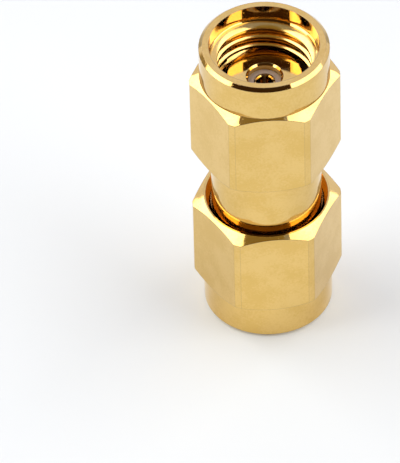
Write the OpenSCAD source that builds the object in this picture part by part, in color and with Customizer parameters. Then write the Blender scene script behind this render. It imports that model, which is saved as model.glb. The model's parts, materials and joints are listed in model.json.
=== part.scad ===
// Coaxial adapter, plug to plug: a plain barrel carries a centre contact in two insulating
// bushes, and a captive hex coupling nut turns freely on each end, held by a snap ring.
// Units are millimetres. Z is the axis, and z = 0 is the rim of the lower nut.

/* [Coupling nut] */
// Length of one coupling nut, rim to back face
nut_len = 8.45; // [8.3:0.05:9.5]
// Wall between the ring groove and each flat, 0.4 for an 8 mm wrench
nut_wall = 0.4; // [0.35:0.01:0.7]
// Height that the six turned-down corners keep above the flats
corner_rise = 0.5; // [0.35:0.01:0.6]
// Wall of the round collar around the lead-in
collar_wall = 0.6; // [0.5:0.01:0.65]
// Length of the collar, rim to the start of the shoulder
collar_len = 2.35; // [1.5:0.05:3]
// Slope of the shoulder between the collar and the corners, from the face plane
shoulder_angle = 33; // [25:1:50]
// Slope of the corner chamfer at the back face, from the face plane
back_angle = 31; // [20:1:45]
// Width of the flat land on the back face, round the funnel
back_land = 0.1; // [0.05:0.01:0.2]
// Chamfer on the outer edge of the rim
rim_chamfer = 0.2; // [0.05:0.01:0.25]

/* [Bore of the nut] */
// Radial clearance of the plain lead-in around the thread
lead_clear = 0.125; // [0.08:0.005:0.2]
// Length of the lead-in
lead_len = 1; // [0.6:0.05:1.4]
// Full diameter of the coupling thread, cut 1/4 inch 36 turns
thread_d = 6.35; // [6.3:0.01:6.4]
// Distance from the end of the thread's run-out to the gasket
thread_room = 0.05; // [0.02:0.01:0.5]
// Radial width of the funnel that opens at the back face
funnel_width = 0.295; // [0.1:0.005:0.35]
// Depth of the funnel
funnel_depth = 0.45; // [0.2:0.05:0.8]

/* [Places of the nuts] */
// Gap between the back faces of the two nuts
nut_gap = 3.85; // [3.5:0.05:8]
// Turn of the upper nut about the axis
upper_turn = 3.5; // [0:0.1:60]
// Turn of the lower nut about the axis
lower_turn = 5.8; // [0:0.1:60]

/* [Barrel] */
// Radial running clearance between the barrel and the nut
nut_clear = 0.08; // [0.03:0.01:0.1]
// Depth of the mating face below the rim of the nut
face_depth = 2.55; // [2.4:0.05:2.9]
// Outer diameter of the sleeve that enters the jack
sleeve_d = 4.6; // [4.5:0.01:4.7]
// Length of the sleeve, mating face to the barrel's shoulder
sleeve_len = 2.85; // [2.6:0.05:2.9]
// Diameter of the bore through the barrel
core_d = 2; // [1.9:0.02:2.2]
// Chamfer on the outer edges of the barrel and the sleeve
edge_chamfer = 0.08; // [0.03:0.01:0.15]
// Chamfer on the edge of the bore at the mating face
core_chamfer = 0.12; // [0.05:0.01:0.15]

/* [Gasket] */
// Step from the sleeve up to the seat that the gasket sits on
seat_step = 0.2; // [0.1:0.01:0.3]
// Radial width of the gasket
gasket_w = 0.58; // [0.4:0.01:0.7]
// Width of the barrel's shoulder that stays bare round the gasket
shoulder_lip = 0.225; // [0.15:0.005:0.4]
// Thickness of the gasket
gasket_t = 0.85; // [0.7:0.05:0.9]
// Clearance between the gasket and its seat
gasket_clear = 0.02; // [0.01:0.01:0.05]

/* [Snap ring] */
// Thickness of the snap ring along the axis
ring_t = 0.6; // [0.5:0.02:0.66]
// Radial width of the snap ring
ring_w = 0.55; // [0.45:0.01:0.6]
// Height that the snap ring stands out of the barrel's surface
ring_out = 0.225; // [0.18:0.005:0.26]
// Length of the barrel's flange between its shoulder and its ring groove
flange_len = 0.67; // [0.5:0.01:1]
// Width of the gap where the snap ring is split
ring_split = 0.9; // [0.5:0.05:1.5]
// Distance that a nut can float along the barrel
float_play = 0.3; // [0.1:0.05:0.4]
// Clearance on each face of the snap ring
ring_clear = 0.03; // [0.02:0.01:0.05]
// Radial clearance between the snap ring and the nut's groove
ring_gap = 0.05; // [0.03:0.01:0.08]
// Radial clearance under the snap ring, in the barrel's groove
ring_under = 0.15; // [0.05:0.01:0.2]

/* [Centre contact and insulators] */
// Outer diameter of the contact
contact_d = 1.27; // [1.2:0.01:1.35]
// Diameter of the socket in each end of the contact
socket_d = 0.94; // [0.92:0.01:0.98]
// Depth of the socket
socket_len = 3; // [2.5:0.05:4]
// Width of the slots between the contact's fingers
slot_w = 0.13; // [0.1:0.01:0.14]
// Length of the slots
slot_len = 2.4; // [1.5:0.05:2.45]
// Diameter of the contact's middle collar
stop_d = 1.6; // [1.5:0.02:1.8]
// Length of the contact's middle collar
stop_len = 1; // [0.6:0.05:2]
// Depth of the contact and the insulators below the mating face
core_recess = 0.42; // [0.2:0.02:0.6]
// Radial clearance of the insulators in the barrel and on the contact
core_clear = 0.01; // [0.005:0.005:0.02]
// Chamfer at the mouth of the socket
socket_chamfer = 0.07; // [0.03:0.01:0.09]
// Chamfer on the outer edge of each end of the contact
tip_chamfer = 0.04; // [0.02:0.01:0.05]

/* [Hidden] */
$fn = 96;
// Distance that a cut runs past the face it opens
over = 1;
overall = 2 * nut_len + nut_gap;
middle = overall / 2;
shoulder_depth = face_depth + sleeve_len;
tip_depth = face_depth + core_recess;
// Gasket on its seat, with the barrel's shoulder behind it
gasket_seat_d = sleeve_d + 2 * seat_step;
gasket_hole_d = gasket_seat_d + 2 * gasket_clear;
gasket_d = gasket_hole_d + 2 * gasket_w;
barrel_d = gasket_d + 2 * shoulder_lip;
// Snap ring and its two grooves. At rest the ring lies at the groove's inner flank.
ring_od = barrel_d + 2 * ring_out;
ring_id = ring_od - 2 * ring_w;
nut_groove_d = ring_od + 2 * ring_gap;
nut_groove_w = ring_t + 2 * ring_clear;
barrel_groove_d = ring_id - 2 * ring_under;
barrel_groove_w = nut_groove_w + float_play;
flank_depth = shoulder_depth + flange_len + barrel_groove_w;
ring_depth = flank_depth - nut_groove_w / 2;
// Nut
nut_bore_d = barrel_d + 2 * nut_clear;
funnel_d = nut_bore_d + 2 * funnel_width;
back_land_d = funnel_d + 2 * back_land;
lead_d = thread_d + 2 * lead_clear;
run_out = (nut_bore_d - thread_d) / 2;
thread_end = shoulder_depth - gasket_t - thread_room - run_out;
collar_d = lead_d + 2 * collar_wall;
nut_flats = nut_groove_d + 2 * nut_wall;
nut_corner_d = nut_flats + 2 * corner_rise;
// Core
insulator_d = core_d - 2 * core_clear;
insulator_hole_d = contact_d + 2 * core_clear;
insulator_end = middle - stop_len / 2;

// Everything for one end is drawn with its mouth at z = 0, facing down.
module upper_end() {
    translate([0, 0, overall]) rotate([180, 0, 0]) children();
}

// Mirrors a list of [radius, depth] points to the other end, last point first.
function other_end(points) =
    [for (i = [len(points) - 1 : -1 : 0]) [points[i][0], overall - points[i][1]]];

module tube(outer_d, inner_d, bottom, height) {
    translate([0, 0, bottom]) difference() {
        cylinder(h = height, d = outer_d);
        translate([0, 0, -over]) cylinder(h = height + 2 * over, d = inner_d);
    }
}

// Round collar with its chamfered rim
module nut_collar() {
    collar_r = collar_d / 2;
    rotate_extrude() polygon([
        [0, 0],
        [collar_r - rim_chamfer, 0],
        [collar_r, rim_chamfer],
        [collar_r, collar_len + rim_chamfer],
        [0, collar_len + rim_chamfer]
    ]);
}

// Turning that cuts the hexagon: front shoulder, corners and back chamfer
module nut_turning() {
    collar_r = collar_d / 2;
    corner_r = nut_corner_d / 2;
    back_r = back_land_d / 2;
    shoulder_len = (corner_r - collar_r) * tan(shoulder_angle);
    back_len = (corner_r - back_r) * tan(back_angle);
    rotate_extrude() polygon([
        [0, collar_len],
        [collar_r, collar_len],
        [corner_r, collar_len + shoulder_len],
        [corner_r, nut_len - back_len],
        [back_r, nut_len],
        [0, nut_len]
    ]);
}

// Bore of the nut: lead-in, thread at its full diameter, running bore and funnel
module nut_bore() {
    lead_r = lead_d / 2;
    thread_r = thread_d / 2;
    bore_r = nut_bore_d / 2;
    funnel_r = funnel_d / 2;
    rotate_extrude() polygon([
        [0, -over],
        [lead_r, -over],
        [lead_r, lead_len],
        [thread_r, lead_len + lead_r - thread_r],
        [thread_r, thread_end],
        [bore_r, thread_end + run_out],
        [bore_r, nut_len - funnel_depth],
        [funnel_r, nut_len],
        [funnel_r, nut_len + over],
        [0, nut_len + over]
    ]);
}

// Coupling nut with the groove for its snap ring
module coupling_nut() {
    color("goldenrod") difference() {
        union() {
            nut_collar();
            intersection() {
                cylinder(h = nut_len, d = nut_flats / cos(30), $fn = 6);
                nut_turning();
            }
        }
        nut_bore();
        translate([0, 0, ring_depth - nut_groove_w / 2])
            cylinder(h = nut_groove_w, d = nut_groove_d);
    }
}

// Split snap ring, half in the barrel's groove and half in the nut's
module snap_ring() {
    color("peru") difference() {
        tube(ring_od, ring_id, ring_depth - ring_t / 2, ring_t);
        translate([-ring_split / 2, 0, 0]) cube([ring_split, ring_od, nut_len]);
    }
}

// Silicone gasket on its seat at the foot of the sleeve
module gasket() {
    color("dimgray")
        tube(gasket_d, gasket_hole_d, shoulder_depth - gasket_t, gasket_t);
}

// Insulating bush from the recess to the contact's collar
module insulator() {
    color("whitesmoke")
        tube(insulator_d, insulator_hole_d, tip_depth, insulator_end - tip_depth);
}

// One-piece barrel with a sleeve, a gasket seat and a ring groove at each end
module barrel() {
    core_r = core_d / 2;
    sleeve_r = sleeve_d / 2;
    seat_r = gasket_seat_d / 2;
    barrel_r = barrel_d / 2;
    groove_r = barrel_groove_d / 2;
    outside = [
        [sleeve_r - edge_chamfer, face_depth],
        [sleeve_r, face_depth + edge_chamfer],
        [sleeve_r, shoulder_depth - gasket_t],
        [seat_r, shoulder_depth - gasket_t],
        [seat_r, shoulder_depth],
        [barrel_r - edge_chamfer, shoulder_depth],
        [barrel_r, shoulder_depth + edge_chamfer],
        [barrel_r, flank_depth - barrel_groove_w],
        [groove_r, flank_depth - barrel_groove_w],
        [groove_r, flank_depth],
        [barrel_r, flank_depth]
    ];
    inside = [
        [core_r, face_depth + core_chamfer],
        [core_r + core_chamfer, face_depth]
    ];
    color("gold") rotate_extrude()
        polygon(concat(outside, other_end(outside), other_end(inside), inside));
}

// Blind socket with a drill point, a chamfered mouth and crossed slots
module socket() {
    socket_r = socket_d / 2;
    mouth_r = socket_r + socket_chamfer;
    rotate_extrude() polygon([
        [0, tip_depth - over],
        [mouth_r, tip_depth - over],
        [mouth_r, tip_depth],
        [socket_r, tip_depth + socket_chamfer],
        [socket_r, tip_depth + socket_len],
        [0, tip_depth + socket_len + socket_r / tan(59)]
    ]);
    for (turn = [0, 90]) {
        rotate([0, 0, turn])
            translate([-contact_d, -slot_w / 2, tip_depth - over])
                cube([2 * contact_d, slot_w, slot_len + over]);
    }
}

// Centre contact, one piece with a slotted socket at each end and a collar between the bushes
module centre_contact() {
    contact_r = contact_d / 2;
    outside = [
        [0, tip_depth],
        [contact_r - tip_chamfer, tip_depth],
        [contact_r, tip_depth + tip_chamfer],
        [contact_r, insulator_end],
        [stop_d / 2, insulator_end]
    ];
    color("orange") difference() {
        rotate_extrude() polygon(concat(outside, other_end(outside)));
        socket();
        upper_end() socket();
    }
}

barrel();
rotate([0, 0, upper_turn]) upper_end() coupling_nut();  // upper_nut
rotate([0, 0, lower_turn]) coupling_nut();  // lower_nut
upper_end() snap_ring();  // upper_snap_ring
snap_ring();  // lower_snap_ring
upper_end() gasket();  // upper_gasket
gasket();  // lower_gasket
upper_end() insulator();  // upper_insulator
insulator();  // lower_insulator
centre_contact();
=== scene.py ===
"""Looks of a gold-plated coaxial adapter with a captive hex coupling nut on each end."""
import json
import math

import bmesh
import bpy
from mathutils import Matrix, Vector


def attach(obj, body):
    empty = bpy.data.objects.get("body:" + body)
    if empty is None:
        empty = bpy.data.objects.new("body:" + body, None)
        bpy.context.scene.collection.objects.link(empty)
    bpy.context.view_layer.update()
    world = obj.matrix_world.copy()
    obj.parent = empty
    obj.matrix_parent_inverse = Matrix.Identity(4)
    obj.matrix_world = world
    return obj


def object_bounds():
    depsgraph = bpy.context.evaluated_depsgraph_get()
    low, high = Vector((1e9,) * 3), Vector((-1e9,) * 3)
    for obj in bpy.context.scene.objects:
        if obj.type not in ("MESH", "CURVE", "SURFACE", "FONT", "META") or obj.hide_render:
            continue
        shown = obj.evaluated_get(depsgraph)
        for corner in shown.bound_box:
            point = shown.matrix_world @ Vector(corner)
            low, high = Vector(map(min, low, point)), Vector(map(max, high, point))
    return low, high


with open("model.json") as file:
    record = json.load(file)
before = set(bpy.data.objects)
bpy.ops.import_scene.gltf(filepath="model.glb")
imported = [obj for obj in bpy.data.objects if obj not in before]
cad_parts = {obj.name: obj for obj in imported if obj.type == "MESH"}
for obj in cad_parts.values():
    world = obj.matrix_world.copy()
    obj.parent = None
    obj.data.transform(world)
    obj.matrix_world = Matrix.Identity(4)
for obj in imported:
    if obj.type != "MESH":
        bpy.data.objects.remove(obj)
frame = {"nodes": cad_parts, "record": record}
cad_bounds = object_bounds()

MM = 0.001
HEIGHT = cad_bounds[1].z
MIDDLE = Vector((0, 0, HEIGHT / 2))
ENDS = ("lower", "upper")
MOUNTS = {mount["name"]: mount for mount in frame["record"]["mounts"]}
WHITE = (1, 1, 1, 1)


# ---- Camera -------------------------------------------------------------------------------

# Far off with a long lens, aimed a little left of the part's middle and below it, slightly rolled
CAMERA_ELEVATION = math.radians(44.54)
CAMERA_ROLL = math.radians(1.03)
CAMERA_DISTANCE = 480 * MM
CAMERA_LENS = 621.2
CAMERA_NEAR = 10 * MM
AIM_LEFT = 3.98 * MM
AIM_DOWN = 3.72 * MM


def add_camera():
    """Camera above and in front of the part, which stands right of the view's middle and high in it."""
    forward = Vector((0, math.cos(CAMERA_ELEVATION), -math.sin(CAMERA_ELEVATION)))
    right = Vector((1, 0, 0))
    up = right.cross(forward)
    eye = MIDDLE - forward * CAMERA_DISTANCE
    roll = Matrix.Rotation(CAMERA_ROLL, 3, forward)
    right = roll @ right
    up = roll @ up
    aim = MIDDLE - right * AIM_LEFT - up * AIM_DOWN
    gaze = (aim - eye).normalized()
    side = gaze.cross(up).normalized()
    top = side.cross(gaze)
    data = bpy.data.cameras.new("camera")
    data.lens = CAMERA_LENS
    data.clip_start = CAMERA_NEAR
    camera = bpy.data.objects.new("camera", data)
    basis = Matrix((side, top, -gaze)).transposed().to_4x4()
    camera.matrix_world = Matrix.Translation(eye) @ basis
    bpy.context.scene.collection.objects.link(camera)
    bpy.context.scene.camera = camera


# ---- Node trees ---------------------------------------------------------------------------

class Tree:
    """Short calls for building one node tree. A value may be a number or another node's output."""

    # Places of the two values and of the result in a Mix node
    MIX_SOCKETS = {"FLOAT": (2, 3, 0), "RGBA": (6, 7, 2)}

    def __init__(self, tree):
        self.tree = tree

    def add(self, kind, **settings):
        made = self.tree.nodes.new(kind)
        for name, value in settings.items():
            setattr(made, name, value)
        return made

    def feed(self, socket, value):
        if isinstance(value, bpy.types.NodeSocket):
            self.tree.links.new(value, socket)
        else:
            socket.default_value = value

    def math(self, operation, *values, clamp=False):
        made = self.add("ShaderNodeMath", operation=operation, use_clamp=clamp)
        for socket, value in zip(made.inputs, values):
            self.feed(socket, value)
        return made.outputs[0]

    def ramp(self, value, low, high, to_low=0.0, to_high=1.0):
        made = self.add("ShaderNodeMapRange", interpolation_type="SMOOTHSTEP")
        for name, amount in (("Value", value), ("From Min", low), ("From Max", high),
                             ("To Min", to_low), ("To Max", to_high)):
            self.feed(made.inputs[name], amount)
        return made.outputs["Result"]

    def noise(self, vector, size, detail, roughness=0.5):
        made = self.add("ShaderNodeTexNoise")
        for name, amount in (("Vector", vector), ("Scale", 1 / size),
                             ("Detail", detail), ("Roughness", roughness)):
            self.feed(made.inputs[name], amount)
        return made.outputs["Fac"]

    def vector(self, x, y, z):
        made = self.add("ShaderNodeCombineXYZ")
        for socket, value in zip(made.inputs, (x, y, z)):
            self.feed(socket, value)
        return made.outputs[0]

    def split(self, vector):
        made = self.add("ShaderNodeSeparateXYZ")
        self.feed(made.inputs[0], vector)
        return made.outputs

    def mix(self, kind, factor, first, second):
        made = self.add("ShaderNodeMix", data_type=kind)
        first_place, second_place, result_place = self.MIX_SOCKETS[kind]
        self.feed(made.inputs[0], factor)
        self.feed(made.inputs[first_place], first)
        self.feed(made.inputs[second_place], second)
        return made.outputs[result_place]

    def bump(self, height, distance, under):
        made = self.add("ShaderNodeBump")
        for name, amount in (("Height", height), ("Distance", distance), ("Normal", under)):
            self.feed(made.inputs[name], amount)
        return made.outputs[0]

    def object_place(self):
        return self.add("ShaderNodeTexCoord").outputs["Object"]


def principled(name):
    material = bpy.data.materials.new(name)
    material.use_nodes = True
    return material, Tree(material.node_tree), material.node_tree.nodes["Principled BSDF"]


# ---- What the materials share -------------------------------------------------------------

# Radius of the edges, which the materials round off, and samples of that rounding
NUT_EDGE = 0.030 * MM
BARREL_EDGE = 0.025 * MM
CONTACT_EDGE = 0.010 * MM
EDGE_SAMPLES = 8

# Part of a noise that is stretched to its whole range
NOISE_SPREAD = (0.3, 0.7)

# How much the turned lines wander off their circles, across the axis
MARK_DRIFT = 0.02


def turning_marks(tree, place, pitch):
    """Height that is the same all round the axis, as a lathe tool leaves it, and drifts slowly."""
    x, y, z = tree.split(place)
    squares = tree.math("ADD", tree.math("MULTIPLY", x, x), tree.math("MULTIPLY", y, y))
    radius = tree.math("SQRT", squares)
    drift = tree.math("MULTIPLY", tree.math("ADD", x, y), MARK_DRIFT)
    return tree.noise(tree.vector(tree.math("ADD", radius, drift), 0.0, z), pitch, detail=1)


def rounding(tree, radius):
    """Normal that rolls over each edge, so that it catches light as a deburred edge does."""
    made = tree.add("ShaderNodeBevel", samples=EDGE_SAMPLES)
    made.inputs["Radius"].default_value = radius
    return made.outputs[0]


def mottle(tree, place, size, colours):
    """Colour that drifts between two tones, in patches of one size."""
    tone = tree.ramp(tree.noise(place, size, detail=3), *NOISE_SPREAD)
    return tree.mix("RGBA", tone, *colours)


# ---- Metals -------------------------------------------------------------------------------

# Deep and light tone of each metal, and the darker tone painted along each edge as shade
GOLD = ((0.760, 0.506, 0.155, 1), (0.826, 0.570, 0.205, 1))
BRONZE = ((0.44, 0.25, 0.11, 1), (0.55, 0.33, 0.15, 1))
EDGE_SHADE_COLOUR = (0.58, 0.40, 0.16, 1)

# Painted shade line along an edge: its radius, as a multiple of the edge's own, and how far the rounded
# normal leans from the plain one, as a cosine, where the painted shade is full and where it ends
EDGE_SHADE_REACH = 2.7
EDGE_SHADE_LEAN = (0.975, 0.9995)

# Tone: size of its patches and of the fine grain in them, the grain's share, and the spread
TONE_SIZE = 1.6 * MM
GRAIN_SIZE = 0.14 * MM
GRAIN_SHARE = 0.4
TONE_SPREAD = (0.38, 0.62)

# Haze: size of its patches, and least and most roughness as multiples of the metal's own
HAZE_SIZE = 0.5 * MM
HAZE_RANGE = (0.75, 1.35)

# Relief: ripple of the plated skin, small specks that stand on it, and tool marks of the gold
RIPPLE_SIZE = 0.35 * MM
RIPPLE_DEPTH = 0.0006 * MM
SPECK_SIZE = 0.12 * MM
SPECK_DEPTH = 0.0012 * MM
SPECK_SPREAD = (0.70, 0.78)
MARK_PITCH = 0.05 * MM
MARK_DEPTH = 0.0004 * MM


def painted_edge_shade(tree, radius):
    """Mask of the painted edge shade: 1 on a sharp edge and 0 on the open face, from how far the
    rounded normal leans.
    """
    plain = tree.add("ShaderNodeNewGeometry").outputs["Normal"]
    lean = tree.add("ShaderNodeVectorMath", operation="DOT_PRODUCT")
    tree.feed(lean.inputs[0], plain)
    tree.feed(lean.inputs[1], rounding(tree, radius))
    return tree.ramp(lean.outputs["Value"], *EDGE_SHADE_LEAN, 1.0, 0.0)


def metal_colour(tree, place, edge, colours):
    """Plate that drifts between two tones, patchy and finely grained, with painted shade along its
    edges.
    """
    patches = tree.noise(place, TONE_SIZE, detail=3)
    grain = tree.noise(place, GRAIN_SIZE, detail=2, roughness=0.6)
    patches = tree.math("MULTIPLY", patches, 1 - GRAIN_SHARE)
    grain = tree.math("MULTIPLY", grain, GRAIN_SHARE)
    tone = tree.ramp(tree.math("ADD", patches, grain), *TONE_SPREAD)
    plate = tree.mix("RGBA", tone, *colours)
    # The darker edge tone is painted shade, a dark line where the rounded edges mirror dark
    # surroundings
    return tree.mix("RGBA", painted_edge_shade(tree, edge * EDGE_SHADE_REACH), plate, EDGE_SHADE_COLOUR)


def metal_roughness(tree, place, roughness):
    """Gloss that comes and goes in patches."""
    haze = tree.noise(place, HAZE_SIZE, detail=4, roughness=0.6)
    least, most = HAZE_RANGE
    return tree.ramp(haze, *NOISE_SPREAD, roughness * least, roughness * most)


def metal_relief(tree, place, edge, mark_depth, mark_pitch):
    """Rounded edges, then ripple, tool marks and specks, each laid over the one before."""
    ripple = tree.noise(place, RIPPLE_SIZE, detail=2)
    skin = tree.bump(ripple, RIPPLE_DEPTH, rounding(tree, edge))
    marked = tree.bump(turning_marks(tree, place, mark_pitch), mark_depth, skin)
    specks = tree.ramp(tree.noise(place, SPECK_SIZE, detail=1), *SPECK_SPREAD)
    return tree.bump(specks, SPECK_DEPTH, marked)


def metal(name, roughness, edge, colours=GOLD, mark_depth=MARK_DEPTH, mark_pitch=MARK_PITCH):
    """Turned metal, gold-plated unless other colours are given."""
    material, tree, shader = principled(name)
    place = tree.object_place()
    tree.feed(shader.inputs["Base Color"], metal_colour(tree, place, edge, colours))
    shader.inputs["Metallic"].default_value = 1
    tree.feed(shader.inputs["Roughness"], metal_roughness(tree, place, roughness))
    relief = metal_relief(tree, place, edge, mark_depth, mark_pitch)
    tree.feed(shader.inputs["Normal"], relief)
    return material


# ---- Insulator and gasket -----------------------------------------------------------------

# Fluoropolymer: tones, patches, roughness, tool marks, and how much light goes in and how deep
# These tones are far darker than the white plastic: painted shade of the recess the insulator sits in
PTFE_SHADED_TONES = ((0.30, 0.24, 0.20, 1), (0.36, 0.29, 0.24, 1))
PTFE_TONE_SIZE = 0.4 * MM
PTFE_HAZE_SIZE = 0.2 * MM
PTFE_ROUGHNESS = (0.30, 0.45)
PTFE_MARK_PITCH = 0.06 * MM
PTFE_MARK_DEPTH = 0.001 * MM
PTFE_GLOW = 0.15
PTFE_GLOW_DEPTH = (0.4 * MM, 0.3 * MM, 0.25 * MM)

# Silicone: tones, size of their patches, grain and roughness
SILICONE = ((0.050, 0.038, 0.034, 1), (0.075, 0.058, 0.050, 1))
SILICONE_TONE_SIZE = 0.5 * MM
SILICONE_GRAIN_SIZE = 0.08 * MM
SILICONE_GRAIN_DEPTH = 0.004 * MM
SILICONE_ROUGHNESS = (0.5, 0.7)


def waxy(name):
    """Turned fluoropolymer: milky, a little see-through, with faint tool rings; its tones are darkened
    as painted shade of the recess it sits in.
    """
    material, tree, shader = principled(name)
    place = tree.object_place()
    tree.feed(shader.inputs["Base Color"], mottle(tree, place, PTFE_TONE_SIZE, PTFE_SHADED_TONES))
    haze = tree.noise(place, PTFE_HAZE_SIZE, detail=3)
    tree.feed(shader.inputs["Roughness"], tree.ramp(haze, *NOISE_SPREAD, *PTFE_ROUGHNESS))
    shader.inputs["Subsurface Weight"].default_value = PTFE_GLOW
    shader.inputs["Subsurface Radius"].default_value = PTFE_GLOW_DEPTH
    shader.inputs["Subsurface Scale"].default_value = 1.0
    rings = turning_marks(tree, place, PTFE_MARK_PITCH)
    relief = tree.bump(rings, PTFE_MARK_DEPTH, rounding(tree, CONTACT_EDGE))
    tree.feed(shader.inputs["Normal"], relief)
    return material


def rubber(name):
    """Matt silicone with a moulded grain."""
    material, tree, shader = principled(name)
    place = tree.object_place()
    tree.feed(shader.inputs["Base Color"], mottle(tree, place, SILICONE_TONE_SIZE, SILICONE))
    grain = tree.noise(place, SILICONE_GRAIN_SIZE, detail=3, roughness=0.6)
    tree.feed(shader.inputs["Roughness"], tree.ramp(grain, *NOISE_SPREAD, *SILICONE_ROUGHNESS))
    relief = tree.bump(grain, SILICONE_GRAIN_DEPTH, rounding(tree, BARREL_EDGE))
    tree.feed(shader.inputs["Normal"], relief)
    return material


# ---- Coupling thread ----------------------------------------------------------------------

# 1/4-36, right-hand. The ridge stands on the nut's bore, which has the thread's full diameter.
THREAD_BORE_R = MOUNTS["upper_thread"]["dims"]["r_mm"] * MM
THREAD_CREST_R = 2.80 * MM
THREAD_PITCH = 25.4 / 36 * MM

# Section of the ridge: half its width at the bore, slope of its flanks from straight across,
# rounding of its crest, how far it goes into the nut, and the angle from which creases stay sharp
THREAD_BASE = THREAD_PITCH * 7 / 16
THREAD_FLANK = math.radians(30)
THREAD_ROUND = 0.05 * MM
THREAD_ROUND_DEGREES = (30, 45, 60, 75, 90)
THREAD_SINK = 0.10 * MM
THREAD_SHARP = math.radians(35)

# Turns, counted from the x axis, at which the ridge starts and ends, sections in each turn, and
# the depth of the ridge's middle below the rim at one turn count
THREAD_TURNS = (0.20, 4.10)
THREAD_STEPS = 96
THREAD_DEPTH = 3.53 * MM
THREAD_DEPTH_TURN = 0.25

# Run-out: turns in which the ridge rises to its full height, and the share that it starts with
THREAD_FADE = 0.30
THREAD_FADE_FROM = 0.02

# Cut by the lead-in: its depth below the rim at the bore, and how much deeper it gets inwards
THREAD_CUT = 1.05 * MM
THREAD_CUT_SLOPE = 0.21


def thread_profile():
    """Outline of one ridge: offsets along the axis and heights above the bore, from base to base."""
    height = THREAD_BORE_R - THREAD_CREST_R
    crest = THREAD_BASE - height * math.tan(THREAD_FLANK)
    turn_in = crest - THREAD_ROUND * math.tan(THREAD_FLANK)
    half = [(THREAD_BASE, -THREAD_SINK), (THREAD_BASE, 0.0)]
    for degrees in THREAD_ROUND_DEGREES:
        angle = math.radians(degrees)
        along = turn_in + THREAD_ROUND * math.cos(angle)
        half.append((along, height - THREAD_ROUND + THREAD_ROUND * math.sin(angle)))
    return [(-along, rise) for along, rise in half] + half[::-1]


def ridge_height(profile, along):
    """Height of the ridge at one offset from its middle."""
    for (first, low), (second, high) in zip(profile[1:], profile[2:-1]):
        if first <= along <= second and second > first:
            return low + (high - low) * (along - first) / (second - first)
    return 0.0


def thread_section(profile, angle, middle, fade):
    """One section of the ridge as points, with all of it above the lead-in's cut taken off."""
    cut = HEIGHT - THREAD_CUT
    points = []
    for along, rise in profile:
        limit = cut - middle - max(rise, 0.0) * THREAD_CUT_SLOPE
        if along > limit:
            along = limit
            rise = min(rise, ridge_height(profile, limit))
        radius = THREAD_BORE_R - (rise * fade if rise > 0 else rise)
        points.append(Vector((radius * math.cos(angle), radius * math.sin(angle), middle + along)))
    return points


def thread_sections(end):
    """Sections all along the ridge. The lower nut's is the upper one's, turned upside down."""
    profile = thread_profile()
    first, last = THREAD_TURNS
    count = int((last - first) * THREAD_STEPS)
    sections = []
    for step in range(count + 1):
        turn = first + (last - first) * step / count
        middle = HEIGHT - THREAD_DEPTH + (turn - THREAD_DEPTH_TURN) * THREAD_PITCH
        risen = min(1.0, (turn - first) / THREAD_FADE)
        fade = max(THREAD_FADE_FROM, math.sin(risen * math.pi / 2))
        points = thread_section(profile, 2 * math.pi * turn, middle, fade)
        if end == "lower":
            points = [Vector((x, -y, HEIGHT - z)) for x, y, z in points]
        sections.append(points)
    return sections


def loft(sections):
    """Closed mesh through sections that all have the same number of points."""
    mesh = bmesh.new()
    rings = [[mesh.verts.new(point) for point in points] for points in sections]
    size = len(rings[0])
    for ring, following in zip(rings, rings[1:]):
        for side in range(size):
            corner = (side + 1) % size
            mesh.faces.new((ring[side], ring[corner], following[corner], following[side]))
    mesh.faces.new(rings[0])
    mesh.faces.new(reversed(rings[-1]))
    bmesh.ops.recalc_face_normals(mesh, faces=mesh.faces)
    return mesh


def add_thread(end, material):
    """Helical ridge inside one nut, which turns and floats with it."""
    mesh = loft(thread_sections(end))
    data = bpy.data.meshes.new(end + "_nut_thread")
    mesh.to_mesh(data)
    mesh.free()
    data.shade_smooth()
    data.set_sharp_from_angle(angle=THREAD_SHARP)
    data.materials.append(material)
    piece = bpy.data.objects.new(end + "_nut_thread", data)
    bpy.context.scene.collection.objects.link(piece)
    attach(piece, end + "_nut")


# ---- Dressing of the part -----------------------------------------------------------------

def dress(name, material):
    """Gives one CAD node its material."""
    slots = frame["nodes"][name].data.materials
    slots.clear()
    slots.append(material)


def dress_part():
    """Each piece gets its material. The nuts are the glossiest gold, and the threads the dullest."""
    nut_gold = metal("nut_gold", roughness=0.055, edge=NUT_EDGE)
    barrel_gold = metal("barrel_gold", roughness=0.07, edge=BARREL_EDGE)
    contact_gold = metal("contact_gold", roughness=0.10, edge=CONTACT_EDGE)
    bush = waxy("ptfe")
    seal = rubber("silicone")
    spring = metal("spring_bronze", roughness=0.26, edge=BARREL_EDGE, colours=BRONZE,
                   mark_depth=0.001 * MM, mark_pitch=0.03 * MM)
    thread_gold = metal("thread_gold", roughness=0.14, edge=CONTACT_EDGE, mark_depth=0.0016 * MM)
    dress("barrel", barrel_gold)
    dress("centre_contact", contact_gold)
    for end in ENDS:
        dress(end + "_nut", nut_gold)
        dress(end + "_insulator", bush)
        dress(end + "_gasket", seal)
        dress(end + "_snap_ring", spring)
        add_thread(end, thread_gold)


# ---- Floor --------------------------------------------------------------------------------

FLOOR_SIDE = 4000 * MM
FLOOR_COLOUR = (0.68, 0.73, 0.77, 1)
FLOOR_ROUGHNESS = 0.9
FLOOR_LIFT = 0.12


def seen_rays(tree):
    """1 for camera rays alone, and 1 for camera, mirrored and transmitted rays."""
    path = tree.add("ShaderNodeLightPath").outputs
    mirrored = tree.math("ADD", path["Is Glossy Ray"], path["Is Transmission Ray"])
    return path["Is Camera Ray"], tree.math("ADD", path["Is Camera Ray"], mirrored, clamp=True)


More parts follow.
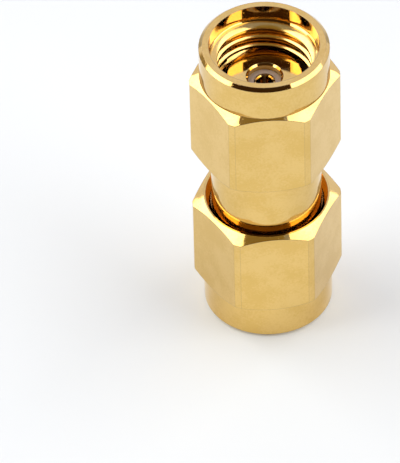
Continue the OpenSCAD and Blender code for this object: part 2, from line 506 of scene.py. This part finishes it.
def add_floor():
    """Pale floor. Its lift is only seen, directly or in metal, and lights nothing else."""
    bpy.ops.mesh.primitive_plane_add(size=FLOOR_SIDE, location=(0, 0, 0))
    floor = bpy.context.object
    floor.name = "floor"
    material, tree, shader = principled("floor_white")
    shader.inputs["Base Color"].default_value = FLOOR_COLOUR
    shader.inputs["Roughness"].default_value = FLOOR_ROUGHNESS
    shader.inputs["Specular IOR Level"].default_value = 0.0
    shader.inputs["Emission Color"].default_value = WHITE
    _, seen_ray = seen_rays(tree)
    tree.feed(shader.inputs["Emission Strength"], tree.math("MULTIPLY", seen_ray, FLOOR_LIFT))
    floor.data.materials.append(material)


# ---- Room and lamps -----------------------------------------------------------------------

# Pale walls: their radiance as a light, while metal mirrors them at full radiance, and their tint
ROOM_LEVEL = 0.84
ROOM_COLOUR = (0.88, 0.88, 1.06, 1)

# Ceiling: elevations in degrees between which the walls pass into it, and its radiance
CEILING = (54, 68, 0.38)

# Dark brown doorway behind the camera, as three bands, and brown furniture low at the left.
# Each is (left, right, bottom, top, softness) in degrees, then its radiance and its tint.
DARK_PARTS = (
    ((-62, 47, 6, 30, 5), 0.24, (1.0, 0.80, 0.30, 1)),
    ((-62, 47, 30, 63, 5), 0.045, (1.0, 0.52, 0.22, 1)),
    ((-62, 47, 63, 84, 5), 0.28, (1.0, 0.76, 0.32, 1)),
    ((-128, -86, 5, 24, 8), 0.36, (1.0, 0.85, 0.60, 1)),
)

# Tall soft boxes at each side: name, place across, front edge, rear edge, foot, top and radiance
BOXES = (
    ("left_front_box", -60 * MM, -38 * MM, 4 * MM, 17 * MM, 170 * MM, 2.75),
    ("left_rear_box", -60 * MM, 4 * MM, 66 * MM, 40 * MM, 170 * MM, 2.75),
    ("right_front_box", 80 * MM, -76 * MM, 2 * MM, 22 * MM, 225 * MM, 2.05),
    ("right_rear_box", 80 * MM, 2 * MM, 88 * MM, 48 * MM, 225 * MM, 2.05),
)
BOX_COLOUR = (1.0, 0.94, 0.82)


def band(tree, value, low, high, soft):
    """1 between two values and 0 outside them, with soft ends."""
    rise = tree.ramp(value, low - soft / 2, low + soft / 2)
    fall = tree.ramp(value, high - soft / 2, high + soft / 2, 1.0, 0.0)
    return tree.math("MULTIPLY", rise, fall)


def sky_angles(tree):
    """Azimuth, 0 at the camera and growing to its right, and elevation, both in degrees."""
    x, y, z = tree.split(tree.add("ShaderNodeTexCoord").outputs["Generated"])
    azimuth = tree.math("ARCTAN2", x, tree.math("MULTIPLY", y, -1.0))
    elevation = tree.math("ARCSINE", z)
    return tree.math("DEGREES", azimuth), tree.math("DEGREES", elevation)


def room(tree, seen_ray):
    """Radiance and tint of the room in each direction: walls, ceiling and dark parts."""
    azimuth, elevation = sky_angles(tree)
    eaves, ridge, ceiling = CEILING
    walls = tree.math("MULTIPLY_ADD", seen_ray, 1.0 - ROOM_LEVEL, ROOM_LEVEL)
    level = tree.ramp(elevation, eaves, ridge, walls, ceiling)
    tint = ROOM_COLOUR
    for (left, right, bottom, top, soft), radiance, colour in DARK_PARTS:
        across = band(tree, azimuth, left, right, soft)
        upwards = band(tree, elevation, bottom, top, soft)
        mask = tree.math("MULTIPLY", across, upwards)
        level = tree.math("MULTIPLY_ADD", mask, tree.math("SUBTRACT", radiance, level), level)
        tint = tree.mix("RGBA", mask, tint, colour)
    return level, tint


def add_world():
    """The room, as light and in reflections. The camera itself sees plain white behind the part."""
    world = bpy.data.worlds.new("studio")
    bpy.context.scene.world = world
    world.use_nodes = True
    tree = Tree(world.node_tree)
    background = world.node_tree.nodes["Background"]
    camera_ray, seen_ray = seen_rays(tree)
    level, tint = room(tree, seen_ray)
    tree.feed(background.inputs["Strength"], tree.mix("FLOAT", camera_ray, level, 1.0))
    tree.feed(background.inputs["Color"], tree.mix("RGBA", camera_ray, tint, WHITE))


def add_boxes():
    """Area lamps that stand upright and face the part, with the energy for their radiance."""
    for name, across, front, rear, foot, top, radiance in BOXES:
        lamp = bpy.data.lights.new(name, "AREA")
        lamp.shape = "RECTANGLE"
        lamp.color = BOX_COLOUR
        lamp.size = rear - front
        lamp.size_y = top - foot
        lamp.energy = radiance * lamp.size * lamp.size_y * math.pi
        box = bpy.data.objects.new(name, lamp)
        box.location = (across, (front + rear) / 2, (foot + top) / 2)
        box.rotation_euler = (math.radians(90), 0, math.copysign(math.radians(90), across))
        bpy.context.scene.collection.objects.link(box)


dress_part()
add_floor()
add_world()
add_boxes()
add_camera()
bpy.context.scene.view_settings.view_transform = "Standard"
